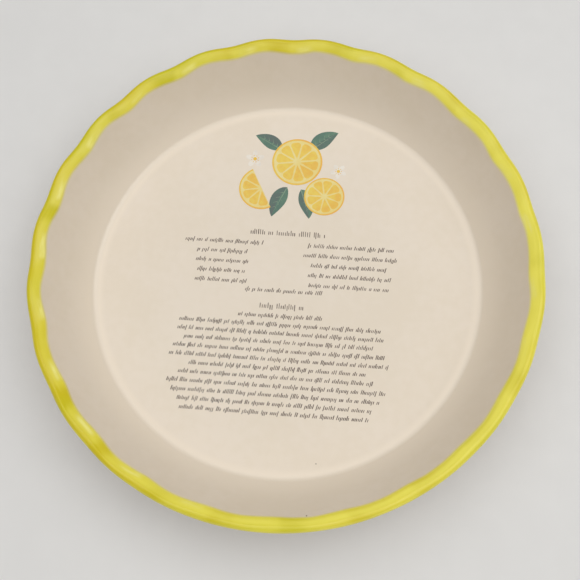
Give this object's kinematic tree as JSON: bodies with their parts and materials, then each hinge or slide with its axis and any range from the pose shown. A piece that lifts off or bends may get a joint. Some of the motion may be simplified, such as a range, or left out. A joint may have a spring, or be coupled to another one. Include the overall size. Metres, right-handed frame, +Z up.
{
  "type": "ceramic pie dish",
  "caption": "Round shallow ceramic pie dish with a gently hollow sloping wall, a gently waved and outward rolled lip, a flat floor and a low foot ring.",
  "frame": {"origin": "centre of the foot ring, on the surface the dish stands on", "axes": "+Z up through the middle of the bowl, +X to the right and +Y away from someone who reads the floor's print"},
  "size_m": [0.267, 0.267, 0.0437],
  "materials": {
    "glaze": "glossy cream glaze with a brushed yellow lip"
  },
  "bodies": {
    "root": {"dish": "glaze"}
  },
  "joints": []
}
